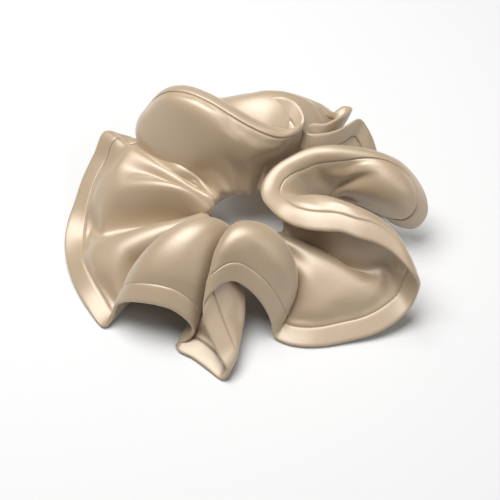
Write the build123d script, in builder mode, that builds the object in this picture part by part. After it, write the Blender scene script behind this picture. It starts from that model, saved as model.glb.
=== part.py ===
from build123d import *

import os
from math import cos, pi, radians, sin

# A satin scrunchie: a long strip of satin, folded lengthwise over a ring of flat elastic and gathered on
# it.  Both raw outer edges of the strip are wrapped by a narrow folded band, and a row of lockstitch in
# the ditch beside the band holds it, with one thread above and one below.
#
# The ruffle is drawn as cuts through it at even angles about the axis of the hole.  At each angle the
# ruffle has its own reach, its own height of the outer edge and its own height of the crest.
# Millimetres, +Z up, origin under the middle of the whole scrunchie on the surface it lies on.

# ---- driving dimensions -----------------------------------------------------------------------
HOLE_Y = 7.0  # the hole is nearer the back than the front
HOLE_RADIUS = 13.0
HOLE_HEIGHT = 13.0  # middle of the elastic above the table
HOLE_LAND = 2.5  # half the height of the cloth's upright side in the hole

ELASTIC_RADIUS = 18.0
ELASTIC_WIDTH = 6.0
ELASTIC_THICK = 1.0
LAP_LENGTH = 12.0
LAP_STEP = 5.0  # degrees over which the upper end climbs on to the lower one

CLOTH = 0.45  # one layer of satin
CHANNEL_RISE = 4.6  # from the middle of the elastic to the cloth over it and under it
PUFF = 7.0  # air between the two layers under a crest

BAND_WIDTH = 6.5
BAND_HALF = 0.9  # half the thickness of the folded band
BAND_CLOTH = 0.35
ALLOWANCE = 3.2  # width of the cover's raw edges inside the band
ROOM = 0.05  # between layers that lie on each other
LOWEST = 0.1  # the lower layer hangs no nearer the table than this
PRESSED = 0.12  # how much the band is flattened where it lies on the table

THREAD = 0.3
DITCH = 0.6  # width of the ditch beside the band
SEAM_ROW = 3  # the station where the ends of both strips are joined
ZIGZAGS = 6  # bars of the zigzag on each face of the elastic's lap
ZIGZAG_TILT = 12.0

# ---- the ruffle, one row for every 15 degrees from +X towards +Y -------------------------------
#   reach of the outer edge, height of its underside, height of the crest
RUFFLE = [
    (60.0, 14.0, 30.0),  # right-hand loop, outer side
    (54.0, 20.0, 30.0),
    (53.0, 16.0, 28.0),
    (53.0, 14.0, 26.0),  # small ruffle at the back right
    (46.0, 18.0, 32.0),
    (44.5, 6.0, 37.0),
    (44.0, 0.0, 40.0),  # rolled fold at the back, with its edge on the table
    (45.5, 3.0, 41.0),
    (48.0, 16.0, 38.0),
    (53.0, 20.0, 31.0),  # mouth of the large billow
    (57.0, 12.0, 22.0),  # fan at the left
    (59.0, 4.0, 20.0),
    (60.0, 1.0, 19.0),
    (58.5, 0.0, 18.0),
    (58.0, 0.0, 19.0),
    (52.0, 6.0, 24.0),  # arch at the front left
    (48.0, 2.0, 26.0),
    (54.0, 1.0, 26.0),
    (58.0, 0.0, 26.0),  # narrow loop at the front
    (43.0, 2.0, 26.0),
    (51.0, 0.0, 24.0),
    (57.0, 1.0, 26.0),  # wide lobe at the front right
    (62.0, 6.0, 29.0),
    (59.0, 16.0, 31.0),
]
STATIONS = len(RUFFLE)
STEP = 360.0 / STATIONS


def upright_plane(angle):
    """An upright plane through the hole's axis: local x is the radius and local y is the height."""
    a = radians(angle)
    return Plane(origin=(0, HOLE_Y, 0), x_dir=(cos(a), sin(a), 0), z_dir=(sin(a), -cos(a), 0))


def ditch_line(row):
    """Radius where the band starts, and the height of the middle of its thickness."""
    reach, underside, _ = row
    return reach - BAND_WIDTH, underside + BAND_HALF - PRESSED


def layer_line(row, side):
    """The outside of one layer, from the hole to its raw edge.  side is +1 above and -1 below."""
    seam, middle = ditch_line(row)
    crest_radius = ELASTIC_RADIUS + 0.4 * (row[0] - ELASTIC_RADIUS)
    crest = row[2] if side > 0 else max(row[2] - PUFF, LOWEST)
    ditch_height = middle + side * (CLOTH + ROOM)
    flare = 3 * DITCH if side > 0 else 5 * DITCH
    return [
        Vector(HOLE_RADIUS, HOLE_HEIGHT + side * HOLE_LAND),
        Vector(ELASTIC_RADIUS - 1.5, HOLE_HEIGHT + side * CHANNEL_RISE),
        Vector(ELASTIC_RADIUS + 2.5, HOLE_HEIGHT + side * CHANNEL_RISE),
        Vector(crest_radius, crest),
        Vector(seam - flare, max(ditch_height + side, LOWEST)),
        Vector(seam - DITCH, ditch_height),
        Vector(seam + ALLOWANCE, ditch_height),
    ]


def hairpin_line(row):
    """The outside of the folded cover: in along the upper layer, round the hole, out along the lower."""
    return [*reversed(layer_line(row, 1)), *layer_line(row, -1)]


def inset_line(points, depth):
    """A run of points moved square to itself, into the fold, by a depth."""
    runs = [(after - before).normalized() for before, after in zip(points, points[1:])]
    moved = []
    for i, point in enumerate(points):
        arriving = runs[max(i - 1, 0)]
        leaving = runs[min(i, len(runs) - 1)]
        across = Vector(-arriving.Y - leaving.Y, arriving.X + leaving.X).normalized()
        moved.append(point + across * (depth / across.dot(Vector(-arriving.Y, arriving.X))))
    return moved


def cover_section(row):
    """The cover's cut: a hairpin, its bend in the hole and its two raw ends in the band."""
    outside = hairpin_line(row)
    return [*outside, *reversed(inset_line(outside, CLOTH))]


def band_section(row):
    """The band's cut: folded in two, with a soft rounded fold and its open side towards the hole."""
    seam, middle = ditch_line(row)
    reach = row[0]
    inner = BAND_HALF - BAND_CLOTH
    soft = BAND_HALF / 2
    return [
        (seam, middle + BAND_HALF),
        (reach - soft, middle + BAND_HALF),
        (reach, middle + soft),
        (reach, middle - soft),
        (reach - soft, middle - BAND_HALF),
        (seam, middle - BAND_HALF),
        (seam, middle - inner),
        (reach - BAND_CLOTH - soft, middle - inner),
        (reach - BAND_CLOTH - soft, middle + inner),
        (seam, middle + inner),
    ]


def thread_section(row, side):
    """A thread lying in the ditch beside the band, below the band's face."""
    seam, middle = ditch_line(row)
    far = seam - ROOM
    near = far - THREAD
    low = middle + side * (CLOTH + 2 * ROOM)
    high = low + side * THREAD
    return [(near, low), (far, low), (far, high), (near, high)]


def needle_section(row):
    return thread_section(row, 1)


def bobbin_section(row):
    return thread_section(row, -1)


def ruffled_ring(section):
    """Joins one cut right round the ring, in two halves that meet on flat faces."""
    half = STATIONS // 2
    with BuildPart() as ring:
        for first in (0, half):
            for i in range(first, first + half + 1):
                with BuildSketch(upright_plane(i * STEP)):
                    with BuildLine():
                        Polyline(section(RUFFLE[i % STATIONS]), close=True)
                    make_face()
            loft(ruled=True)
    return ring.part


# ---- cloth -----------------------------------------------------------------------------------
with BuildPart() as satin_cover:
    add(ruffled_ring(cover_section))

with BuildPart() as edge_band:
    add(ruffled_ring(band_section))
    split(bisect_by=Plane.XY, keep=Keep.TOP)

# ---- thread in the ditch beside the band -------------------------------------------------------
with BuildPart() as band_needle_thread:
    add(ruffled_ring(needle_section))

with BuildPart() as band_bobbin_thread:
    add(ruffled_ring(bobbin_section))

# ---- elastic: a ring whose last stretch climbs on to its own start ------------------------------
lap_degrees = LAP_LENGTH / ELASTIC_RADIUS * 180.0 / pi
lap_first = SEAM_ROW * STEP - lap_degrees / 2
inner_radius = ELASTIC_RADIUS - ELASTIC_THICK / 2
outer_radius = ELASTIC_RADIUS + ELASTIC_THICK + ROOM
hole_axis = Axis((0, HOLE_Y, 0), (0, 0, 1))

with BuildPart() as elastic_band:
    with BuildSketch(upright_plane(lap_first)):
        with Locations((ELASTIC_RADIUS, HOLE_HEIGHT)):
            Rectangle(ELASTIC_THICK, ELASTIC_WIDTH)
    revolve(axis=hole_axis, revolution_arc=360.0 - LAP_STEP)
    with BuildSketch(upright_plane(lap_first - LAP_STEP)):
        with Locations((ELASTIC_RADIUS, HOLE_HEIGHT)):
            Rectangle(ELASTIC_THICK, ELASTIC_WIDTH)
    with BuildSketch(upright_plane(lap_first)):
        with Locations((outer_radius, HOLE_HEIGHT)):
            Rectangle(ELASTIC_THICK, ELASTIC_WIDTH)
    loft(ruled=True)
    with BuildSketch(upright_plane(lap_first)):
        with Locations((outer_radius, HOLE_HEIGHT)):
            Rectangle(ELASTIC_THICK, ELASTIC_WIDTH)
    revolve(axis=hole_axis, revolution_arc=lap_degrees)

# ---- thread that joins the ends of the elastic, the cover and the band --------------------------
zigzag_tall = ELASTIC_WIDTH - 1.4
zigzag_pitch = lap_degrees / (ZIGZAGS + 2)

with BuildPart() as elastic_join_stitches:
    for face_radius in (outer_radius + ELASTIC_THICK / 2 + ROOM, inner_radius - ROOM - THREAD):
        for i in range(ZIGZAGS):
            upright = upright_plane(lap_first + (i + 1.5) * zigzag_pitch)
            facing = Plane(
                origin=upright.from_local_coords((face_radius, HOLE_HEIGHT, 0)),
                x_dir=upright.z_dir,
                z_dir=upright.x_dir,
            )
            with BuildSketch(facing):
                Rectangle(THREAD, zigzag_tall, rotation=ZIGZAG_TILT * (-1) ** i)
            extrude(amount=THREAD)

seam_row = RUFFLE[SEAM_ROW]
seam_plane = upright_plane(SEAM_ROW * STEP)
cover_fold = hairpin_line(seam_row)[2:-2]

with BuildPart() as cover_end_seam_thread:
    with BuildSketch(seam_plane):
        with BuildLine():
            near_side = inset_line(cover_fold, CLOTH + 2 * ROOM)
            far_side = inset_line(cover_fold, CLOTH + 2 * ROOM + THREAD)
            Polyline(*near_side, *reversed(far_side), close=True)
        make_face()
    extrude(amount=THREAD / 2, both=True)

row_start = ditch_line(seam_row)[0] + ALLOWANCE + ROOM
row_end = seam_row[0] - BAND_CLOTH - BAND_HALF / 2 - ROOM
row_tall = 2 * (BAND_HALF - BAND_CLOTH - ROOM)

with BuildPart() as band_end_seam_thread:
    with BuildSketch(seam_plane):
        with Locations(((row_start + row_end) / 2, ditch_line(seam_row)[1])):
            Rectangle(row_end - row_start, row_tall)
    extrude(amount=THREAD / 2, both=True)

# ---- one STEP file for each piece --------------------------------------------------------------
satin_cover.part.label = "satin_cover"
edge_band.part.label = "edge_band"
band_needle_thread.part.label = "band_needle_thread"
band_bobbin_thread.part.label = "band_bobbin_thread"
elastic_band.part.label = "elastic_band"
elastic_join_stitches.part.label = "elastic_join_stitches"
cover_end_seam_thread.part.label = "cover_end_seam_thread"
band_end_seam_thread.part.label = "band_end_seam_thread"

os.makedirs("parts", exist_ok=True)
export_step(satin_cover.part, "parts/satin_cover.step")
export_step(edge_band.part, "parts/edge_band.step")
export_step(band_needle_thread.part, "parts/band_needle_thread.step")
export_step(band_bobbin_thread.part, "parts/band_bobbin_thread.step")
export_step(elastic_band.part, "parts/elastic_band.step")
export_step(elastic_join_stitches.part, "parts/elastic_join_stitches.step")
export_step(cover_end_seam_thread.part, "parts/cover_end_seam_thread.step")
export_step(band_end_seam_thread.part, "parts/band_end_seam_thread.step")
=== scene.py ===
import math

import bpy
import numpy as np
from bpy.props import FloatProperty, IntProperty, PointerProperty
from bpy.types import Operator, Panel, PropertyGroup
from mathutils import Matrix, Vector


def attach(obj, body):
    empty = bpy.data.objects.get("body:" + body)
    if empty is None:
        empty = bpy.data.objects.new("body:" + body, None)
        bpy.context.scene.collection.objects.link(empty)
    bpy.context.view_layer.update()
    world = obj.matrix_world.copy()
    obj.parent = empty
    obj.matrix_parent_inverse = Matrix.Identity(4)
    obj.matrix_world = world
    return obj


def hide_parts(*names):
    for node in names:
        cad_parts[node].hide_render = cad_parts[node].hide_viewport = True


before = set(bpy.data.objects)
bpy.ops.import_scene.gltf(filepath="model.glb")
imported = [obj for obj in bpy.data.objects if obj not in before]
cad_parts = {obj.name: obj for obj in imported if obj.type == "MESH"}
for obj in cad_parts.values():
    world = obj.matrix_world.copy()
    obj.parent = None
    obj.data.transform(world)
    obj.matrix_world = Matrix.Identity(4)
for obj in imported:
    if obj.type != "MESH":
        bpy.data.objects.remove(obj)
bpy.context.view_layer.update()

bl_info = {
    "name": "Satin scrunchie",
    "version": (1, 0, 0),
    "blender": (4, 5, 0),
    "location": "3D View > Sidebar > Scrunchie",
    "description": "Makes a ruffled satin scrunchie with a bound edge, gathered on its elastic",
    "category": "Object",
}

MM = 0.001  # a millimetre, in the frame's metres

# ---- the ruffle ---------------------------------------------------------------------------------
# The strip is given by cuts across it, anticlockwise from the front.  Millimetres, in the frame's axes.
#   rim: the outer edge.  shoulder: what the cloth leans over just before it.
#   ring: degrees about the hole where the cut meets the elastic.  heel: how far out and up it leaves.
#   puff: how far the two layers stand apart, against the usual.
HOLE_CENTRE = (0.0, 7.0)
RING_RADIUS = 12.5
RING_HEIGHT = 13.0

WIDE_LOBE = [
    ((9, -34, 0.8), (17, -21, 5), -72, (9, 2), 0.4),
    ((12.5, -36, 0.5), (18, -20, 7), -68, (8, 3), 0.6),
    ((18, -37.2, 0.5), (20, -20, 8), -64, (8, 4), 0.9),
    ((24, -37, 0.5), (24, -20, 10), -59, (8, 5), 1.0),
    ((31.5, -35.5, 1), (28, -19, 11), -54, (9, 5), 1.0),
    ((40, -33.5, 2), (32, -18, 12), -48, (9, 8), 1.0),
    ((47, -30.5, 4), (38, -16, 12), -43, (10, 9), 1.0),
    ((53, -26, 8), (46, -14, 10), -38, (14, -1), 0.8),
    ((55, -23, 13), (49, -11, 15), -34, (16, -2), 0.7),
    ((54, -24, 18), (53, -9, 24), -30, (18, 2), 0.7),
    ((50.5, -22, 22), (53, -7, 31), -26, (18, 4), 0.8),
    ((45.5, -18, 25), (49, -4, 35), -22, (16, 6), 0.9),
    ((40, -16, 27), (43, -2, 37), -18, (13, 8), 1.0),
]
RIBBON = [
    ((35, -15, 28), (35, 0, 38), -14, (11, 10), 1.0),
    ((30, -13, 28.5), (28, 2, 38), -11, (10, 10), 1.0),
    ((24, -12, 28), (22, 3, 37), -8, (10, 10), 0.9),
    ((18, -10.5, 27.5), (17, 3, 36), -5, (10, 10), 0.8),
    ((13.5, -8, 27), (14, 4, 35), -2, (10, 8), 0.7),
    ((9.5, -4.5, 27), (13, 5, 34), 1, (12, 4), 0.6),
    ((7, -0.5, 26.5), (12, 6, 33), 4, (14, 0), 0.6),
]
TRUMPET = [
    ((5, 3.5, 26), (11, 7, 32), 7, (16, -5), 0.7),
    ((4.5, 6.5, 26), (11, 8, 32), 10, (17, -7), 0.8),
    ((5.5, 11.5, 27), (12, 11, 33), 12, (18, -7), 0.8),
    ((9, 16, 28.5), (14, 13, 34), 15, (19, -7), 0.8),
    ((14.5, 19.5, 30), (18, 14, 35), 18, (19, -7), 0.8),
    ((20, 22, 31), (23, 15, 36), 20, (19, -7), 0.8),
    ((26.5, 23, 31.5), (28, 14.5, 37), 22, (19, -7), 0.8),
    ((34, 23.5, 30.5), (33, 13.5, 38), 24, (20, -7), 0.9),
    ((43, 23, 28.5), (37, 13, 39), 26, (20, -7), 1.0),
    ((51, 21.5, 25), (41, 11, 40), 28, (20, -7), 1.0),
    ((56.5, 18.5, 20), (43, 9, 41), 30, (20, -7), 0.9),
    ((59.5, 14, 16), (44, 5, 40), 32, (20, -7), 0.8),
    ((60, 11, 13), (45, 3, 36), 33, (19, -6), 0.6),
    ((57, 9, 7.5), (46, 5, 26), 34, (17, -4), 0.4),
    ((51, 13, 4), (43, 11, 17), 35, (15, -2), 0.4),
    ((46.5, 20, 3), (38, 19, 13), 36, (13, 0), 0.5),
    ((45, 28, 5), (36, 25, 14), 37, (12, 2), 0.5),
    ((45, 34, 10), (37, 28, 18), 38, (11, 3), 0.5),
]
SMALL_FOLDS = [
    ((44, 38, 16), (39, 28, 12), 39, (10, 2), 0.6),
    ((41.5, 41, 21.5), (38, 30, 13), 41, (9, 2), 0.6),
    ((38.5, 42.5, 25.5), (35, 32, 15), 43, (9, 2), 0.6),
    ((34.5, 38.5, 27), (31, 29, 15), 45, (8, 3), 0.6),
    ((30, 35, 27.5), (27, 26, 16), 47, (7, 3), 0.7),
    ((25.5, 33, 28), (22, 24, 17), 49, (7, 3), 0.6),
    ((20.5, 32.5, 28.5), (18, 24, 19), 51, (6, 4), 0.4),
    ((18.5, 34.5, 29), (17, 26, 20), 53, (6, 4), 0.3),
    ((21.5, 36.5, 29), (18, 28, 20), 54, (6, 4), 0.3),
    ((26, 37, 28.5), (22, 30, 19), 55, (6, 4), 0.4),
    ((30, 39.5, 28.5), (26, 32, 18), 56, (6, 4), 0.4),
    ((33.5, 43, 28), (29, 35, 17), 57, (6, 4), 0.3),
    ((35.5, 46.5, 27), (31, 38, 17), 58, (6, 4), 0.3),
    ((33, 49, 25), (28, 41, 24), 59, (6, 4), 0.4),
    ((30, 47, 23), (25, 42, 34), 60, (6, 5), 0.6),
    ((26.5, 49, 24), (22, 43, 39), 61, (6, 6), 0.8),
    ((22, 50, 25), (19, 43, 43), 62, (6, 6), 0.9),
    ((17, 51, 26), (15, 43, 46), 63, (6, 7), 0.9),
    ((12, 51.5, 26.5), (11, 43, 48), 64, (6, 7), 0.9),
    ((7, 51.5, 26.5), (6, 43, 48.5), 65, (6, 8), 0.9),
    ((0, 51.5, 26), (0, 42, 47), 66, (6, 8), 0.8),
    ((-8, 51, 25.5), (-7, 41, 44), 68, (6, 7), 0.7),
    ((-13, 50.5, 27), (-11, 40, 38), 70, (6, 6), 0.4),
    ((-15.5, 48.5, 30), (-12, 38, 32), 71, (6, 6), 0.3),
]
ROSE = [
    ((-13.5, 45.5, 30), (-9, 36, 24), 72, (6, 5), 0.3),
    ((-6, 43, 32.5), (-3, 34, 25), 73.5, (6, 5), 0.3),
    ((0.8, 41.5, 34), (2, 32, 25), 74.5, (6, 5), 0.4),
    ((7, 41.7, 36), (7, 30, 26), 75.5, (6, 5), 0.5),
    ((12, 41.2, 37), (11, 29, 27), 76.5, (6, 5), 0.5),
    ((16.3, 39.5, 36), (14, 28, 28), 77.5, (6, 5), 0.4),
    ((18.5, 36, 35), (16, 27, 29), 79, (6, 6), 0.4),
    ((19, 33, 34), (17, 25, 33), 80.5, (6, 8), 0.4),
]
BILLOW = [
    ((17.5, 31, 33), (16, 23, 38), 82, (5, 10), 0.5),
    ((14, 29.5, 32.5), (12.5, 21.5, 40), 84, (4, 10), 0.7),
    ((9, 29.5, 33.5), (7.5, 20.5, 42), 87, (3, 11), 0.9),
    ((2, 31.5, 35.5), (1, 21.5, 44), 92, (3, 12), 1.1),
    ((-6, 35, 38.5), (-6.5, 24.5, 46), 98, (3, 12), 1.2),
    ((-13, 39, 40), (-14, 28, 48), 104, (3, 13), 1.2),
    ((-20, 43, 39.5), (-22, 32, 49), 110, (3, 13), 1.2),
    ((-25, 46, 36.5), (-30, 35, 48), 115, (4, 12), 1.2),
    ((-28, 48, 32), (-37, 38, 44), 120, (5, 10), 1.1),
    ((-30.5, 49, 26), (-43, 40, 38), 125, (6, 8), 1.0),
    ((-33, 48.5, 20), (-49, 40, 31), 129, (7, 6), 0.9),
    ((-34, 47, 15), (-49, 37, 24), 133, (8, 4), 0.6),
    ((-35.5, 45, 11), (-38, 34, 15), 137, (8, 2), 0.4),
]
FAN = [
    ((-37, 44.5, 10.5), (-34, 33, 15), 140, (8, 2), 0.4),
    ((-38, 44, 12), (-32, 32, 23), 142, (6, 7), 0.6),
    ((-39.5, 44, 13.5), (-31, 32, 28), 144, (5, 9), 0.7),
    ((-41, 44, 15), (-31, 29.5, 23), 146, (6, 6), 0.6),
    ((-44, 44, 16.5), (-36, 28, 17), 148, (7, 4), 0.5),
    ((-49, 43.5, 18.5), (-38, 30, 22), 151, (7, 7), 0.8),
    ((-53, 38, 13), (-40, 26, 17), 156, (8, 6), 1.0),
    ((-57, 30.5, 8), (-42, 23, 16), 161, (10, 12), 1.0),
    ((-59.5, 23, 4), (-41, 18.5, 13), 166, (12, 20), 1.0),
    ((-61.5, 16, 2), (-43, 14, 4), 169, (7, 0), 0.6),
    ((-62, 9.5, 1), (-44, 9, 0), 174, (6, -4), 0.6),
    ((-61.5, 3.5, 0.5), (-44, 3, 4), 181, (6, 0), 1.0),
    ((-60, -3.5, 0.5), (-42, -1, 13), 188, (6, 6), 1.0),
    ((-57, -12, 0.5), (-40, -6, 12), 195, (6, 6), 1.0),
    ((-52.5, -21, 0.5), (-38, -11, 4), 202, (5, -1), 0.8),
    ((-47, -29, 0.5), (-36, -15, 1), 209, (4, -3), 0.5),
]
ARCH = [
    ((-44, -27.5, 4), (-35, -13, 16), 216, (4, 10), 0.5),
    ((-42, -26.5, 8.5), (-34, -12, 26), 221, (3, 14), 0.8),
    ((-38.5, -28, 12), (-31, -12, 32), 226, (3, 16), 1.1),
    ((-33.5, -30, 14), (-27, -13, 35), 231, (2, 18), 1.2),
    ((-28.5, -31.5, 14.5), (-22, -13, 36), 236, (2, 18), 1.3),
    ((-24, -32.5, 13.5), (-17, -13, 36), 241, (2, 18), 1.2),
    ((-20.5, -33.5, 11), (-13, -13, 33), 245, (2, 17), 1.0),
    ((-18, -34.5, 8), (-10, -14, 27), 248, (2, 14), 0.7),
    ((-17.5, -35.5, 5), (-11, -17, 18), 250, (3, 9), 0.4),
    ((-19.5, -36.5, 2.5), (-13, -20, 11), 251, (4, 5), 0.4),
    ((-23, -37, 0.7), (-15, -23, 6), 252, (6, 0), 0.4),
    ((-22, -39, 0.5), (-14, -26, 4.5), 253, (7, -2), 0.5),
    ((-18, -41.5, 0.5), (-11, -29, 4), 254.5, (8, -3), 0.6),
    ((-13, -46, 0.5), (-7, -33, 4), 256, (9, -3), 0.6),
]
LOOP = [
    ((-8, -50.5, 0.6), (-3, -37, 4.5), 257.5, (9, -3), 0.4),
    ((-6.5, -49.5, 4), (2, -41, 6.5), 259, (9, -2), 0.4),
    ((-9, -45.5, 6), (3, -37, 9), 260, (8, 0), 0.2),
    ((-11.5, -41, 9), (1, -32, 12), 261, (7, 2), 0.2),
    ((-13.5, -37, 12), (-1, -28, 16), 262, (6, 5), 0.2),
    ((-14, -34.5, 15), (-6, -23, 23), 263, (4, 8), 0.4),
    ((-13, -32, 17.5), (-12, -18, 31), 264, (3, 14), 0.7),
    ((-11, -30, 19.5), (-9, -17, 37), 266, (2, 18), 1.0),
    ((-8, -27.5, 20.5), (-5, -17, 39), 269, (1, 18), 1.2),
    ((-4.5, -26.5, 20.5), (0, -17, 39), 272, (1, 18), 1.3),
    ((-1, -27, 18.5), (6, -16, 38), 275, (2, 18), 1.3),
    ((2.5, -28.5, 15.5), (13, -15, 36), 278, (3, 17), 1.2),
    ((5.5, -30, 11), (20, -15, 31), 281, (6, 15), 1.0),
    ((7.5, -31.5, 6), (25, -17, 23), 284, (9, 12), 0.8),
    ((8, -32.5, 2.5), (23, -20, 10), 286, (11, 4), 0.4),
]
CUTS = WIDE_LOBE + RIBBON + TRUMPET + SMALL_FOLDS + ROSE + BILLOW + FAN + ARCH + LOOP

# ---- the strip across its width, in millimetres from the hem ------------------------------------
BAND_WIDTH = 6.4
RAW_EDGE = 3.2  # how far inside the band the cover's cut edges lie
HEM_SAMPLES = 520
RIM_SHARE = 0.75  # how much the spacing of the samples follows the rim, and not the shoulder
CROSS_STEPS = 240
BAND_ROWS = (0.0, 0.22, 0.6, 1.3, RAW_EDGE, 4.4, 5.4, 6.0, BAND_WIDTH)
DITCH_ROWS = (RAW_EDGE, 4.8, BAND_WIDTH)
PANEL_ROWS = 40
PANEL_CROWDING = 1.35  # above 1, the rows lie closer together beside the ditch
COVER_ROWS = 2 * (len(DITCH_ROWS) + PANEL_ROWS) - 1  # upper layer, fold and lower layer

# ---- half of the cover's thickness, in millimetres ----------------------------------------------
DITCH_HALF = 0.1
DITCH_LIP = 0.42  # what it gains as soon as it leaves the ditch
LIP_REACH = 0.3
PUFF_LEAST = 0.2
PUFF_REACH = 5.0
CHANNEL_SWELL = 2.2  # what the tunnel round the elastic adds
CHANNEL_REACH = 14.0
NOSE = 4.0  # the fold in the hole is round over this distance
NORMAL_REACH = 3.0  # from here inwards the two layers part along evened-out normals
NORMAL_PASSES = 8

# ---- gathers beside the elastic: count round the ring, phase, height in millimetres --------------
GATHERS = ((31, 0.4, 0.25), (47, 2.1, 0.15), (19, 4.0, 0.25))
GATHER_PLACE = 7.0  # they are deepest at this distance from the fold
GATHER_REACH = 8.0
GATHER_DRIFT = 0.6  # how unevenly they are spaced
GATHER_DRIFT_COUNT = 3

# ---- how the cover is held while it settles ------------------------------------------------------
SIM_SHARE = 2  # one in this many columns and rows goes into the simulation
SIM_SCALE = 15.0  # the simulation is steadier on a cloth of about two metres
PINNED_EDGE = 0.5
PINNED_FOLD = 1.0
RING_GRIP = 0.6
RING_GRIP_END = 14.4  # millimetres from the fold
RING_GRIP_FADE = 9.0
EDGE_GRIP_END = 5.0  # millimetres from the ditch
FREEDOM = 1.6  # how soon a loosely held point follows the simulation in full
KINK_PASSES = 6
FLOOR_GAP = 0.1
FLOOR_REACH = 0.9  # cloth lower than the two together is pressed flatter, and stays above the table

# ---- the folded band, in millimetres -------------------------------------------------------------
EDGE_ROUND = 0.6
TUCK = 0.2  # the share of its thickness that it loses beside the ditch
TUCK_REACH = 0.45
INSIDE_LEAST = 0.02
INSIDE_PULL = 0.5  # its inside starts this share nearer to the third row than its outside does

# ---- seams, elastic and threads ------------------------------------------------------------------
SEAM_TURN = 45.0  # degrees about the hole where the ends of the strips are joined
SEAM_SKIP = 4  # rows at both ends of the seam that have no thread
SEAM_DEPTH = 0.0006
STITCH_FILL = 0.92  # the share of a stitch's length that its thread shows
ELASTIC_ROWS = 6  # how many rows of the cover, from its fold, lie over the elastic
ELASTIC_PASSES = 6
ELASTIC_ROOM = 0.25  # the share of the fold's inside that half of the elastic may fill
LAP_COLUMNS = 44
LAP_RAMP = 8
LAP_LIFT = 1.1
ZIGZAGS = 6
ZIGZAG_START = 4
ZIGZAG_STEP = 6
ZIGZAG_SWING = 2
ZIGZAG_STAND = 1.6

# ---- colours, lights and camera ------------------------------------------------------------------
SATIN = ((0.42, 0.31, 0.193), (0.49, 0.37, 0.243))
COVER_ROUGHNESS, COVER_GRAIN = 0.44, 0.16
BAND_ROUGHNESS, BAND_GRAIN = 0.46, 0.2
THREAD_COLOUR = (0.50, 0.37, 0.24)
ELASTIC_COLOURS = ((0.62, 0.58, 0.5), (0.84, 0.81, 0.74))
FLOOR_COLOUR = (0.69, 0.69, 0.69)
FLOOR_SIZE = 4
WORLD_COLOUR = (1.0, 0.99, 0.975)
WORLD_LIGHT = 0.115
LIGHT_SIZE = 0.5
LIGHT_AIM = (0, 0, 0.02)
KEY_PLACE = (-0.12, 0.10, 0.62)
FILL_PLACE = (0.5, -0.35, 0.5)
FILL_SHARE = 0.2
CAMERA_AIM = (0.0008, -0.0128, 0.020)


# ---- the surface ---------------------------------------------------------------------------------
def closed_curve(points, places, wanted, period):
    """Points at the wanted places on a smooth closed curve through the given ones."""
    gap_before = (places - np.roll(places, 1)) % period
    gap_after = (np.roll(places, -1) - places) % period
    arriving = (points - np.roll(points, 1, axis=0)) / gap_before[:, None]
    leaving = (np.roll(points, -1, axis=0) - points) / gap_after[:, None]
    weight = (gap_after / (gap_before + gap_after))[:, None]
    slope = arriving * weight + leaving * (1 - weight)
    here = np.searchsorted(places, wanted, side="right") - 1
    there = (here + 1) % len(points)
    gap = gap_after[here][:, None]
    t = (wanted - places[here])[:, None] / gap
    return (
        points[here] * (2 * t**3 - 3 * t**2 + 1)
        + slope[here] * gap * (t**3 - 2 * t**2 + t)
        + points[there] * (3 * t**2 - 2 * t**3)
        + slope[there] * gap * (t**3 - t**2)
    )


def steps_along(points):
    """The distance from each point to the next on a closed line."""
    return np.linalg.norm(np.roll(points, -1, axis=0) - points, axis=1)


def cross_curves():
    """For every hem sample, a finely stepped curve from the rim to the elastic, its run and its puff."""
    rim, shoulder, turn, heel, puff = (np.array([cut[k] for cut in CUTS], float) for k in range(5))
    turn = np.radians(turn)
    outward = np.stack([np.cos(turn), np.sin(turn), np.zeros_like(turn)], axis=1)
    ring = np.array([*HOLE_CENTRE, RING_HEIGHT]) + outward * RING_RADIUS
    leave = ring + outward * heel[:, :1] + np.array([0, 0, 1.0]) * heel[:, 1:]
    step = RIM_SHARE * steps_along(rim) + (1 - RIM_SHARE) * steps_along(shoulder)
    places = np.concatenate([[0.0], np.cumsum(step)[:-1]])
    wanted = np.arange(HEM_SAMPLES) * step.sum() / HEM_SAMPLES
    rim, shoulder, leave, ring, puff = (
        closed_curve(points, places, wanted, step.sum())[:, None, :]
        for points in (rim, shoulder, leave, ring, puff[:, None])
    )
    t = np.linspace(0, 1, CROSS_STEPS)[None, :, None]
    curves = rim * (1 - t) ** 3 + 3 * shoulder * t * (1 - t) ** 2
    curves += 3 * leave * t**2 * (1 - t) + ring * t**3
    lengths = np.linalg.norm(np.diff(curves, axis=1), axis=2)
    run = np.concatenate([np.zeros((HEM_SAMPLES, 1)), np.cumsum(lengths, axis=1)], axis=1)
    return curves, run, puff[:, 0, 0]


def points_at(curves, run, distances):
    """Points on each cross curve at its own row of distances from the rim."""
    points = np.empty((*distances.shape, 3))
    for i in range(len(curves)):
        for axis in range(3):
            points[i, :, axis] = np.interp(distances[i], run[i], curves[i, :, axis])
    return points


def unit_normals(points):
    """Unit normals on the upper side of a grid of points that closes along the hem."""
    along = np.roll(points, -1, axis=0) - np.roll(points, 1, axis=0)
    across = np.gradient(points, axis=1)
    normal = np.cross(along, across)
    return normal / np.maximum(np.linalg.norm(normal, axis=2, keepdims=True), 1e-9)


def rounded(share):
    """A quarter circle's height, from 0 at share 0 to 1 at share 1 and beyond."""
    return np.sqrt(np.clip(1 - (1 - np.clip(share, 0, 1)) ** 2, 0, 1))


def above_floor(points):
    """The points, with the lowest ones pressed together so that all stay above the table."""
    low = FLOOR_GAP + FLOOR_REACH
    pressed = points.copy()
    height = points[..., 2]
    squeezed = FLOOR_GAP + FLOOR_REACH * np.exp((np.minimum(height, low) - low) / FLOOR_REACH)
    pressed[..., 2] = np.where(height < low, squeezed, height)
    return pressed


def smoothed(values, times):
    """Values evened out along the hem, which closes on itself."""
    for _ in range(times):
        values = 0.25 * np.roll(values, 1, axis=0) + 0.5 * values + 0.25 * np.roll(values, -1, axis=0)
    return values


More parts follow.
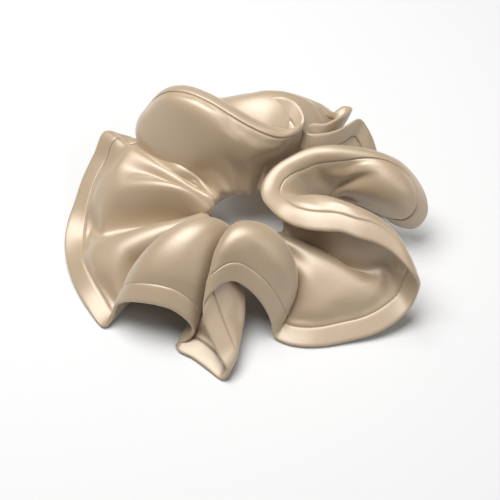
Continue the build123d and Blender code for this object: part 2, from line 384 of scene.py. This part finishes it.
def band_layers():
    """The middle of the band, its unit normals and its distances from the rim."""
    curves, run, _ = cross_curves()
    distances = np.tile(np.array(BAND_ROWS), (HEM_SAMPLES, 1))
    middle = points_at(curves, run, distances)
    return middle, unit_normals(middle), distances


def cover_layers(puff_height):
    """The cover's skin before it settles, as one grid round the fold in the hole.

    With it come how firmly each point is held, and its distance along the cloth."""
    curves, run, puff = cross_curves()
    length = run[:, -1:]
    share = np.linspace(0, 1, PANEL_ROWS + 1)[None, 1:] ** PANEL_CROWDING
    panel = BAND_WIDTH + share * (length - BAND_WIDTH)
    distances = np.concatenate([np.tile(np.array(DITCH_ROWS), (HEM_SAMPLES, 1)), panel], axis=1)
    middle = points_at(curves, run, distances)
    normal = unit_normals(middle)
    beyond = np.maximum(distances - BAND_WIDTH, 0)
    softer = smoothed(normal, NORMAL_PASSES)
    normal = normal + (softer - normal) * np.clip(beyond / NORMAL_REACH, 0, 1)[:, :, None]
    half = DITCH_HALF + DITCH_LIP * (1 - np.exp(-beyond / LIP_REACH))
    half = half + (PUFF_LEAST + puff_height * puff[:, None]) * (1 - np.exp(-beyond / PUFF_REACH))
    from_ring = length - distances
    half += np.clip(1 - from_ring / CHANNEL_REACH, 0, 1) ** 2 * CHANNEL_SWELL
    half *= rounded(from_ring / NOSE)
    hem_turn = np.arange(HEM_SAMPLES)[:, None] / HEM_SAMPLES * 2 * math.pi
    pleat = np.zeros_like(half)
    for count, phase, height in GATHERS:
        drift = GATHER_DRIFT * np.sin(GATHER_DRIFT_COUNT * hem_turn + phase)
        pleat += height * np.sin(count * hem_turn + phase + drift)
    fade = np.exp(-(((from_ring - GATHER_PLACE) / GATHER_REACH) ** 2))
    fade *= np.clip(beyond / GATHER_REACH, 0, 1)
    middle = middle + normal * (pleat * fade)[:, :, None]
    upper = middle + normal * half[:, :, None]
    lower = middle - normal * half[:, :, None]
    held = np.maximum(beyond < PINNED_EDGE, from_ring < PINNED_FOLD).astype(float)
    ring_grip = RING_GRIP * np.clip((RING_GRIP_END - from_ring) / RING_GRIP_FADE, 0, 1)
    edge_grip = np.clip(1 - beyond / EDGE_GRIP_END, 0, 1)
    held = np.maximum(held, np.maximum(ring_grip, edge_grip))
    return (
        np.concatenate([upper, lower[:, -2::-1]], axis=1),
        np.concatenate([held, held[:, -2::-1]], axis=1),
        np.concatenate([distances, 2 * length - distances[:, -2::-1]], axis=1),
    )


def grid_faces(columns, rows):
    """Quads between neighbouring columns of a grid that closes along the hem, facing outwards."""
    faces = []
    for i in range(columns):
        after = (i + 1) % columns
        for j in range(rows - 1):
            faces.append((i * rows + j, after * rows + j, after * rows + j + 1, i * rows + j + 1))
    return faces


def ring_faces(columns, rows):
    """Quads of a tube whose cut is closed as well as its length."""
    faces = []
    for i in range(columns):
        after = (i + 1) % columns
        for j in range(rows):
            above = (j + 1) % rows
            faces.append((i * rows + j, after * rows + j, after * rows + above, i * rows + above))
    return faces


# ---- helpers -------------------------------------------------------------------------------------
def sheet_object(name, points, faces, strip=None):
    """A smooth mesh from points in millimetres.  strip is each point's place on the flat cloth."""
    mesh = bpy.data.meshes.new(name)
    mesh.from_pydata([tuple(p) for p in points.reshape(-1, 3) * MM], [], faces)
    mesh.polygons.foreach_set("use_smooth", [True] * len(mesh.polygons))
    if strip is not None:
        corners = np.empty(len(mesh.loops), dtype=np.int32)
        mesh.loops.foreach_get("vertex_index", corners)
        places = strip.reshape(-1, 2)[corners].reshape(-1, 4, 2)
        along = places[:, :, 0]
        whole = strip[:, :, 0].max()
        # A face that joins the strip's end to its start counts on from the end.
        wrapped = along.max(axis=1) - along.min(axis=1) > whole / 2
        places[:, :, 0] += np.where(wrapped[:, None] & (along < whole / 4), whole, 0)
        layer = mesh.uv_layers.new(name="strip")
        layer.data.foreach_set("uv", places.astype(np.float32).ravel())
    mesh.update()
    piece = bpy.data.objects.new(name, mesh)
    bpy.context.scene.collection.objects.link(piece)
    return piece


def select_only(piece):
    """Selects one piece and makes it the active one."""
    bpy.ops.object.select_all(action="DESELECT")
    piece.select_set(True)
    bpy.context.view_layer.objects.active = piece


def apply_modifier(piece, modifier):
    """Makes a modifier's result the piece's own mesh."""
    select_only(piece)
    bpy.ops.object.modifier_apply(modifier=modifier.name)


def needs(name):
    """The piece of that name, which an earlier step has to have made."""
    piece = bpy.data.objects.get(name)
    if piece is None:
        raise RuntimeError(f"{name} has to be made first")
    return piece


def seam_column():
    """The hem sample whose cut meets the elastic at the end seams."""
    curves, _, _ = cross_curves()
    ring = curves[:, -1]
    turn = np.degrees(np.arctan2(ring[:, 1] - HOLE_CENTRE[1], ring[:, 0] - HOLE_CENTRE[0]))
    return int(np.argmin(np.abs(turn - SEAM_TURN)))


def cover_skin():
    """The outside of the finished cover, as the grid of points in millimetres it was made from."""
    cover = needs("cover_cloth")
    points = np.empty(len(cover.data.vertices) * 3, dtype=np.float32)
    cover.data.vertices.foreach_get("co", points)
    outside = points[: HEM_SAMPLES * COVER_ROWS * 3]
    return outside.reshape(HEM_SAMPLES, COVER_ROWS, 3).astype(float) / MM


# ---- cloth simulation ----------------------------------------------------------------------------
def relaxed(points, held, settings):
    """How far each point moves when the folded cloth, held at its band and at its elastic, settles."""
    coarse = points[::SIM_SHARE, ::SIM_SHARE]
    held = held[::SIM_SHARE, ::SIM_SHARE]
    columns, rows = coarse.shape[:2]
    cloth = sheet_object("cloth_trial", coarse * SIM_SCALE, grid_faces(columns, rows))
    group = cloth.vertex_groups.new(name="held")
    for index, grip in enumerate(held.ravel()):
        group.add([index], float(max(grip, settings.shape_hold)), "REPLACE")
    modifier = cloth.modifiers.new("cloth", "CLOTH")
    modifier.settings.quality = 5
    modifier.settings.mass = 0.3
    modifier.settings.tension_stiffness = 20
    modifier.settings.compression_stiffness = 20
    modifier.settings.shear_stiffness = 5
    modifier.settings.bending_stiffness = settings.stiffness
    modifier.settings.tension_damping = 10
    modifier.settings.compression_damping = 10
    modifier.settings.shear_damping = 10
    modifier.settings.air_damping = 2
    modifier.settings.vertex_group_mass = "held"
    modifier.settings.pin_stiffness = 1.0
    modifier.settings.shrink_min = -settings.fullness
    modifier.settings.effector_weights.gravity = 0.12
    modifier.settings.use_pressure = True
    modifier.settings.uniform_pressure_force = settings.pressure
    modifier.collision_settings.use_collision = False
    modifier.collision_settings.use_self_collision = False
    modifier.point_cache.frame_start = 1
    modifier.point_cache.frame_end = settings.frames
    scene = bpy.context.scene
    for number in range(1, settings.frames + 1):
        scene.frame_set(number)
    apply_modifier(cloth, modifier)
    settled = np.empty(columns * rows * 3, dtype=np.float32)
    cloth.data.vertices.foreach_get("co", settled)
    bpy.data.objects.remove(cloth)
    scene.frame_set(1)
    move = settled.reshape(columns, rows, 3) / MM / SIM_SCALE - coarse
    move *= (held < 1)[:, :, None]
    return move


def spread_out(move, shape):
    """The moves of the coarse points, evened out and filled in for every point."""
    columns, rows = shape
    at_column = np.arange(columns) / SIM_SHARE
    at_row = np.linspace(0, move.shape[1] - 1, rows)
    first = np.floor(at_column).astype(int)
    t = (at_column - first)[:, None, None]
    a, b, c, d = (move[(first + k) % move.shape[0]] for k in (-1, 0, 1, 2))
    bend = 2 * a - 5 * b + 4 * c - d + t * (3 * (b - c) + d - a)
    filled = b + 0.5 * t * (c - a + t * bend)
    result = np.empty((columns, rows, 3))
    for i in range(columns):
        for axis in range(3):
            result[i, :, axis] = np.interp(at_row, np.arange(move.shape[1]), filled[i, :, axis])
    return result


# ---- materials -----------------------------------------------------------------------------------
def new_material(name):
    """A material with its nodes and links, which starts with one Principled shader."""
    material = bpy.data.materials.new(name)
    material.use_nodes = True
    return material, material.node_tree.nodes, material.node_tree.links


def satin_material(name, roughness, grain):
    """Heavy satin: a fine grain along the strip, cloudy tone and a broad, warm sheen."""
    material, nodes, links = new_material(name)
    shader = nodes["Principled BSDF"]
    shader.inputs["Metallic"].default_value = 0.12
    shader.inputs["Sheen Weight"].default_value = 0.5
    shader.inputs["Sheen Roughness"].default_value = 0.45
    shader.inputs["Sheen Tint"].default_value = (1.0, 0.94, 0.85, 1)
    shader.inputs["Specular IOR Level"].default_value = 1.0
    shader.inputs["Coat Weight"].default_value = 0.7
    shader.inputs["Coat Roughness"].default_value = 0.45
    coords = nodes.new("ShaderNodeTexCoord")
    strip = nodes.new("ShaderNodeUVMap")
    strip.uv_map = "strip"
    stretch = nodes.new("ShaderNodeMapping")
    stretch.inputs["Scale"].default_value = (0.9, 3.2, 1.0)
    links.new(strip.outputs["UV"], stretch.inputs["Vector"])
    slub = nodes.new("ShaderNodeTexNoise")
    slub.inputs["Scale"].default_value = 1.1
    slub.inputs["Detail"].default_value = 5.0
    links.new(stretch.outputs["Vector"], slub.inputs["Vector"])
    cloud = nodes.new("ShaderNodeTexNoise")
    cloud.inputs["Scale"].default_value = 38.0
    cloud.inputs["Detail"].default_value = 3.0
    links.new(coords.outputs["Object"], cloud.inputs["Vector"])
    ramp = nodes.new("ShaderNodeValToRGB")
    ramp.color_ramp.elements[0].position = 0.3
    ramp.color_ramp.elements[1].position = 0.7
    ramp.color_ramp.elements[0].color = (*SATIN[0], 1)
    ramp.color_ramp.elements[1].color = (*SATIN[1], 1)
    links.new(cloud.outputs["Fac"], ramp.inputs["Fac"])
    links.new(ramp.outputs["Color"], shader.inputs["Base Color"])
    sheen_range = nodes.new("ShaderNodeMapRange")
    sheen_range.inputs["To Min"].default_value = roughness - 0.06
    sheen_range.inputs["To Max"].default_value = roughness + 0.06
    links.new(slub.outputs["Fac"], sheen_range.inputs["Value"])
    links.new(sheen_range.outputs["Result"], shader.inputs["Roughness"])
    bump = nodes.new("ShaderNodeBump")
    bump.inputs["Strength"].default_value = grain
    bump.inputs["Distance"].default_value = 0.0002
    links.new(slub.outputs["Fac"], bump.inputs["Height"])
    links.new(bump.outputs["Normal"], shader.inputs["Normal"])
    return material


def thread_material(name, colour):
    """Matt twisted sewing thread."""
    material, nodes, links = new_material(name)
    shader = nodes["Principled BSDF"]
    shader.inputs["Base Color"].default_value = (*colour, 1)
    shader.inputs["Roughness"].default_value = 0.7
    shader.inputs["Sheen Weight"].default_value = 0.3
    coords = nodes.new("ShaderNodeTexCoord")
    twist = nodes.new("ShaderNodeTexNoise")
    twist.inputs["Scale"].default_value = 4000.0
    links.new(coords.outputs["Object"], twist.inputs["Vector"])
    bump = nodes.new("ShaderNodeBump")
    bump.inputs["Strength"].default_value = 0.4
    bump.inputs["Distance"].default_value = 0.0001
    links.new(twist.outputs["Fac"], bump.inputs["Height"])
    links.new(bump.outputs["Normal"], shader.inputs["Normal"])
    return material


def elastic_material(name):
    """Woven elastic: fine ribs round the ring, between covered rubber cores."""
    material, nodes, links = new_material(name)
    shader = nodes["Principled BSDF"]
    shader.inputs["Roughness"].default_value = 0.75
    coords = nodes.new("ShaderNodeTexCoord")
    ribs = nodes.new("ShaderNodeTexWave")
    ribs.bands_direction = "Z"
    ribs.inputs["Scale"].default_value = 300.0
    ribs.inputs["Distortion"].default_value = 0.5
    links.new(coords.outputs["Object"], ribs.inputs["Vector"])
    ramp = nodes.new("ShaderNodeValToRGB")
    ramp.color_ramp.elements[0].color = (*ELASTIC_COLOURS[0], 1)
    ramp.color_ramp.elements[1].color = (*ELASTIC_COLOURS[1], 1)
    links.new(ribs.outputs["Fac"], ramp.inputs["Fac"])
    links.new(ramp.outputs["Color"], shader.inputs["Base Color"])
    bump = nodes.new("ShaderNodeBump")
    bump.inputs["Strength"].default_value = 0.5
    bump.inputs["Distance"].default_value = 0.0002
    links.new(ribs.outputs["Fac"], bump.inputs["Height"])
    links.new(bump.outputs["Normal"], shader.inputs["Normal"])
    return material


# ---- settings ------------------------------------------------------------------------------------
class CoverSettings(PropertyGroup):
    puff: FloatProperty(
        name="Puff",
        description="Half the usual air between the layers",
        default=0.0008,
        subtype="DISTANCE",
    )
    thickness: FloatProperty(
        name="Cloth", description="Thickness of one layer", default=0.00035, subtype="DISTANCE"
    )
    fullness: FloatProperty(
        name="Fullness",
        description="Spare cloth that buckles into soft folds",
        default=0.035,
        subtype="FACTOR",
    )
    stiffness: FloatProperty(name="Stiffness", description="How hard the satin is to bend", default=5.0)
    pressure: FloatProperty(name="Pressure", description="How much the layers push apart", default=0.9)
    shape_hold: FloatProperty(
        name="Hold", description="How well the laid-out folds are kept", default=0.12, subtype="FACTOR"
    )
    frames: IntProperty(name="Frames", description="Steps of the simulation", default=22)


class BandSettings(PropertyGroup):
    half: FloatProperty(
        name="Half thickness",
        description="Half the folded band's thickness",
        default=0.00062,
        subtype="DISTANCE",
    )
    cloth: FloatProperty(
        name="Cloth", description="Thickness of the band's cloth", default=0.0003, subtype="DISTANCE"
    )


class ThreadSettings(PropertyGroup):
    stitch: FloatProperty(
        name="Stitch", description="Length of a stitch", default=0.0026, subtype="DISTANCE"
    )
    radius: FloatProperty(
        name="Thread", description="Radius of the thread", default=0.00012, subtype="DISTANCE"
    )


class ElasticSettings(PropertyGroup):
    thickness: FloatProperty(
        name="Thickness", description="Thickness of the elastic", default=0.001, subtype="DISTANCE"
    )


class StageSettings(PropertyGroup):
    elevation: FloatProperty(
        name="Elevation",
        description="Angle of the camera above the horizon",
        default=math.radians(48.0),
        subtype="ANGLE",
    )
    distance: FloatProperty(
        name="Distance", description="Camera to object", default=0.536, subtype="DISTANCE"
    )
    lens: FloatProperty(name="Lens", description="Focal length", default=120.0, unit="CAMERA")
    key_power: FloatProperty(
        name="Key light", description="Power of the main soft light", default=6.1, subtype="POWER"
    )


# ---- pieces --------------------------------------------------------------------------------------
class SCRUNCHIE_OT_cover(Operator):
    """Makes the folded satin cover and lets it settle"""

    bl_idname = "scrunchie.cover"
    bl_label = "Cover"

    def execute(self, context):
        settings = context.scene.scrunchie_cover
        points, held, distances = cover_layers(settings.puff / MM)
        moves = spread_out(relaxed(points, held, settings), points.shape[:2])
        free = np.clip(FREEDOM * (1 - held), 0, 1)[:, :, None]
        points = points + moves * free
        points = above_floor(points + (smoothed(points, KINK_PASSES) - points) * free)
        columns, rows = points.shape[:2]
        ditch_length = steps_along(points[:, len(DITCH_ROWS) - 1]).sum()
        along = np.tile(np.linspace(0, ditch_length, columns, endpoint=False)[:, None], (1, rows))
        strip = np.stack([along, distances], axis=2)
        piece = sheet_object("cover_cloth", points, grid_faces(columns, rows), strip)
        layer = piece.modifiers.new("layer", "SOLIDIFY")
        layer.thickness = settings.thickness
        layer.offset = -1
        apply_modifier(piece, layer)
        piece.data.materials.append(satin_material("satin_cover_cloth", COVER_ROUGHNESS, COVER_GRAIN))
        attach(piece, "root")
        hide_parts("satin_cover")
        return {"FINISHED"}


class SCRUNCHIE_OT_band(Operator):
    """Makes the folded band that binds the ruffle's edge"""

    bl_idname = "scrunchie.band"
    bl_label = "Edge band"

    def execute(self, context):
        settings = context.scene.scrunchie_band
        middle, normal, distances = band_layers()
        tuck = 1 - TUCK * np.clip((distances - BAND_WIDTH + TUCK_REACH) / TUCK_REACH, 0, 1) ** 2
        outer = settings.half / MM * rounded(distances / EDGE_ROUND) * tuck
        inner = np.maximum(outer - settings.cloth / MM, INSIDE_LEAST)
        inward = middle.copy()
        inward[:, :3] += (middle[:, 2:3] - middle[:, :3]) * INSIDE_PULL
        cut = [middle + normal * outer[:, :, None]]
        cut.append((inward + normal * inner[:, :, None])[:, ::-1])
        cut.append((inward - normal * inner[:, :, None])[:, 1:])
        cut.append((middle - normal * outer[:, :, None])[:, :0:-1])
        points = above_floor(np.concatenate(cut, axis=1))
        columns, rows = points.shape[:2]
        hem_length = steps_along(middle[:, 0]).sum()
        along = np.tile(np.linspace(0, hem_length, columns, endpoint=False)[:, None], (1, rows))
        across = np.tile(np.linspace(0, 4 * BAND_WIDTH, rows)[None, :], (columns, 1))
        strip = np.stack([along, across], axis=2)
        piece = sheet_object("band_cloth", points, ring_faces(columns, rows), strip)
        piece.data.materials.append(satin_material("satin_band_cloth", BAND_ROUGHNESS, BAND_GRAIN))
        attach(piece, "root")
        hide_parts("edge_band")
        return {"FINISHED"}


class SCRUNCHIE_OT_ditch_threads(Operator):
    """Makes the two rows of lockstitch in the ditches beside the band"""

    bl_idname = "scrunchie.ditch_threads"
    bl_label = "Ditch stitches"

    def execute(self, context):
        settings = context.scene.scrunchie_thread
        needs("cover_cloth")
        middle, normal, _ = band_layers()
        for name, side, node in (
            ("needle_stitches", 1, "band_needle_thread"),
            ("bobbin_stitches", -1, "band_bobbin_thread"),
        ):
            row = above_floor(middle[:, -1] + side * normal[:, -1] * DITCH_HALF)
            guide_data = bpy.data.curves.new(name + "_guide", "CURVE")
            guide_data.dimensions = "3D"
            spline = guide_data.splines.new("POLY")
            spline.points.add(len(row) - 1)
            places = np.concatenate([row * MM, np.ones((len(row), 1))], axis=1)
            spline.points.foreach_set("co", places.ravel())
            spline.use_cyclic_u = True
            guide = bpy.data.objects.new(name + "_guide", guide_data)
            context.scene.collection.objects.link(guide)
            bpy.ops.mesh.primitive_uv_sphere_add(segments=8, ring_count=6, radius=1.0)
            stitch = context.object
            stitch.name = name
            stitch.scale = (settings.stitch * STITCH_FILL / 2, settings.radius, settings.radius)
            bpy.ops.object.transform_apply(location=False, rotation=False, scale=True)
            bpy.ops.object.shade_smooth()
            repeat = stitch.modifiers.new("row", "ARRAY")
            repeat.fit_type = "FIT_CURVE"
            repeat.curve = guide
            repeat.use_relative_offset = False
            repeat.use_constant_offset = True
            repeat.constant_offset_displace = (settings.stitch, 0, 0)
            bend = stitch.modifiers.new("ditch", "CURVE")
            bend.object = guide
            apply_modifier(stitch, repeat)
            apply_modifier(stitch, bend)
            bpy.data.objects.remove(guide)
            stitch.data.materials.append(thread_material(name + "_thread", THREAD_COLOUR))
            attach(stitch, "root")
            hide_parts(node)
        return {"FINISHED"}


class SCRUNCHIE_OT_end_seams(Operator):
    """Makes the hidden seams that join the ends of the cover and the ends of the band"""

    bl_idname = "scrunchie.end_seams"
    bl_label = "End seams"

    def execute(self, context):
        settings = context.scene.scrunchie_thread
        cover = needs("cover_cloth")
        first = seam_column() * COVER_ROWS
        cover_line = []
        for index in range(first + SEAM_SKIP, first + COVER_ROWS - SEAM_SKIP):
            vertex = cover.data.vertices[index]
            cover_line.append(vertex.co - vertex.normal * SEAM_DEPTH)
        middle, _, _ = band_layers()
        band_line = [Vector(point * MM) for point in middle[seam_column(), 2:5]]
        for name, points, node in (
            ("cover_end_stitches", cover_line, "cover_end_seam_thread"),
            ("band_end_stitches", band_line, "band_end_seam_thread"),
        ):
            bpy.ops.curve.primitive_nurbs_path_add(location=(0, 0, 0))
            row = context.object
            row.name = name
            row.data.splines.clear()
            spline = row.data.splines.new("POLY")
            spline.points.add(len(points) - 1)
            for place, point in zip(spline.points, points):
                place.co = (*point, 1)
            row.data.bevel_depth = settings.radius
            row.data.bevel_resolution = 2
            row.data.use_fill_caps = True
            select_only(row)
            bpy.ops.object.convert(target="MESH")
            row.data.materials.append(thread_material(name + "_thread", THREAD_COLOUR))
            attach(row, "root")
            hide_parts(node)
        return {"FINISHED"}


class SCRUNCHIE_OT_elastic(Operator):
    """Makes the flat elastic in the cover's fold, lapped over its own start, and its zigzag stitches"""

    bl_idname = "scrunchie.elastic"
    bl_label = "Elastic"

    def execute(self, context):
        settings = context.scene.scrunchie_elastic
        thread = context.scene.scrunchie_thread
        skin = cover_skin()
        fold = skin.shape[1] // 2
        upper = skin[:, fold - ELASTIC_ROWS : fold]
        lower = skin[:, fold + ELASTIC_ROWS : fold : -1]
        middle = smoothed((upper + lower) / 2, ELASTIC_PASSES)
        gap = np.linalg.norm(upper - lower, axis=2, keepdims=True)
        facing = (upper - lower) / np.maximum(gap, 1e-9)
        half = np.minimum(ELASTIC_ROOM * gap, settings.thickness / MM / 2)
        count = np.arange(HEM_SAMPLES + LAP_COLUMNS)
        lift = LAP_LIFT * np.clip((count - HEM_SAMPLES + LAP_RAMP) / LAP_RAMP, 0, 1)[:, None, None]
        order = (count + seam_column()) % HEM_SAMPLES
        centre = middle[order] + facing[order] * half[order] * lift
        rise = facing[order] * half[order] / 2
        loop = np.concatenate([centre + rise, (centre - rise)[:, ::-1]], axis=1)
        columns, rows = loop.shape[:2]
        faces = ring_faces(columns, rows)[: (columns - 1) * rows]
        faces.append(tuple(range(rows)))
        faces.append(tuple(columns * rows - 1 - k for k in range(rows)))
        elastic = sheet_object("elastic", loop, faces)
        elastic.data.materials.append(elastic_material("woven_elastic"))
        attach(elastic, "root")
        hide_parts("elastic_band")
        bars = []
        for k in range(ZIGZAGS):
            at = HEM_SAMPLES + ZIGZAG_START + k * ZIGZAG_STEP
            swing = ZIGZAG_SWING * (-1) ** k
            for side in (1, -1):
                near = centre[at + side * swing, 1] + side * ZIGZAG_STAND * rise[at, 1]
                far = centre[at - side * swing, -2] + side * ZIGZAG_STAND * rise[at, -2]
                bars.append((Vector(near * MM), Vector(far * MM)))
        made = []
        for start, end in bars:
            bpy.ops.mesh.primitive_cylinder_add(
                vertices=8, radius=thread.radius, depth=(end - start).length, location=(start + end) / 2
            )
            bar = context.object
            bar.rotation_mode = "QUATERNION"
            bar.rotation_quaternion = (end - start).to_track_quat("Z", "Y")
            made.append(bar)
        bpy.ops.object.select_all(action="DESELECT")
        for bar in made:
            bar.select_set(True)
        context.view_layer.objects.active = made[0]
        bpy.ops.object.join()
        bpy.ops.object.transform_apply(location=True, rotation=True, scale=True)
        join = context.object
        join.name = "elastic_zigzag"
        bpy.ops.object.shade_smooth_by_angle()
        join.data.materials.append(thread_material("elastic_join_thread", THREAD_COLOUR))
        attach(join, "root")
        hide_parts("elastic_join_stitches")
        return {"FINISHED"}


class SCRUNCHIE_OT_soft_goods(Operator):
    """A step that changes nothing in the scene."""

    bl_idname = "scrunchie.soft_goods"
    bl_label = "Soft goods"

    def execute(self, context):
        return {"FINISHED"}


def area_light(name, place, power):
    """A soft square light at a place, turned to the object."""
    bpy.ops.object.light_add(type="AREA", location=place)
    light = bpy.context.object
    light.name = name
    light.data.size = LIGHT_SIZE
    light.data.energy = power
    light.rotation_mode = "QUATERNION"
    light.rotation_quaternion = (Vector(LIGHT_AIM) - Vector(place)).to_track_quat("-Z", "Y")


class SCRUNCHIE_OT_stage(Operator):
    """Sets the pale floor, the soft studio lights and the camera"""

    bl_idname = "scrunchie.stage"
    bl_label = "Stage"

    def execute(self, context):
        settings = context.scene.scrunchie_stage
        bpy.ops.mesh.primitive_plane_add(size=FLOOR_SIZE, location=(0, 0, 0))
        floor = context.object
        floor.name = "floor"
        material, nodes, _ = new_material("pale_floor")
        shader = nodes["Principled BSDF"]
        shader.inputs["Base Color"].default_value = (*FLOOR_COLOUR, 1)
        shader.inputs["Roughness"].default_value = 0.95
        shader.inputs["Specular IOR Level"].default_value = 0.1
        floor.data.materials.append(material)
        area_light("key", KEY_PLACE, settings.key_power)
        area_light("fill", FILL_PLACE, FILL_SHARE * settings.key_power)
        context.scene.view_settings.view_transform = "Standard"
        world = bpy.data.worlds.new("studio")
        context.scene.world = world
        world.use_nodes = True
        background = world.node_tree.nodes["Background"]
        background.inputs["Color"].default_value = (*WORLD_COLOUR, 1)
        background.inputs["Strength"].default_value = WORLD_LIGHT
        away = Vector((0, -math.cos(settings.elevation), math.sin(settings.elevation)))
        aim = Vector(CAMERA_AIM)
        bpy.ops.object.camera_add(location=aim + away * settings.distance)
        camera = context.object
        camera.name = "camera"
        camera.data.lens = settings.lens
        camera.data.clip_start = 0.01
        camera.rotation_mode = "QUATERNION"
        camera.rotation_quaternion = (-away).to_track_quat("-Z", "Y")
        context.scene.camera = camera
        return {"FINISHED"}


class SCRUNCHIE_PT_panel(Panel):
    """The scrunchie's settings and steps"""

    bl_idname = "SCRUNCHIE_PT_panel"
    bl_label = "Scrunchie"
    bl_space_type = "VIEW_3D"
    bl_region_type = "UI"
    bl_category = "Scrunchie"

    def draw(self, context):
        scene = context.scene
        for group, kind in GROUPS.items():
            box = self.layout.box()
            for name in kind.__annotations__:
                box.prop(getattr(scene, group), name)
        for step in STEPS:
            self.layout.operator(step.bl_idname)


GROUPS = {
    "scrunchie_cover": CoverSettings,
    "scrunchie_band": BandSettings,
    "scrunchie_thread": ThreadSettings,
    "scrunchie_elastic": ElasticSettings,
    "scrunchie_stage": StageSettings,
}
STEPS = (
    SCRUNCHIE_OT_cover,
    SCRUNCHIE_OT_band,
    SCRUNCHIE_OT_ditch_threads,
    SCRUNCHIE_OT_end_seams,
    SCRUNCHIE_OT_elastic,
    SCRUNCHIE_OT_soft_goods,
    SCRUNCHIE_OT_stage,
)


def register():
    """Adds the settings, the steps and the panel to Blender."""
    for name, group in GROUPS.items():
        bpy.utils.register_class(group)
        setattr(bpy.types.Scene, name, PointerProperty(type=group))
    for step in STEPS:
        bpy.utils.register_class(step)
    bpy.utils.register_class(SCRUNCHIE_PT_panel)


def unregister():
    """Takes them out again."""
    bpy.utils.unregister_class(SCRUNCHIE_PT_panel)
    for step in reversed(STEPS):
        bpy.utils.unregister_class(step)
    for name, group in GROUPS.items():
        delattr(bpy.types.Scene, name)
        bpy.utils.unregister_class(group)


def main():
    """Makes the scrunchie and its stage."""
    register()
    bpy.ops.scrunchie.cover()
    bpy.ops.scrunchie.band()
    bpy.ops.scrunchie.ditch_threads()
    bpy.ops.scrunchie.end_seams()
    bpy.ops.scrunchie.elastic()
    bpy.ops.scrunchie.soft_goods()
    bpy.ops.scrunchie.stage()


if __name__ == "__main__":
    main()
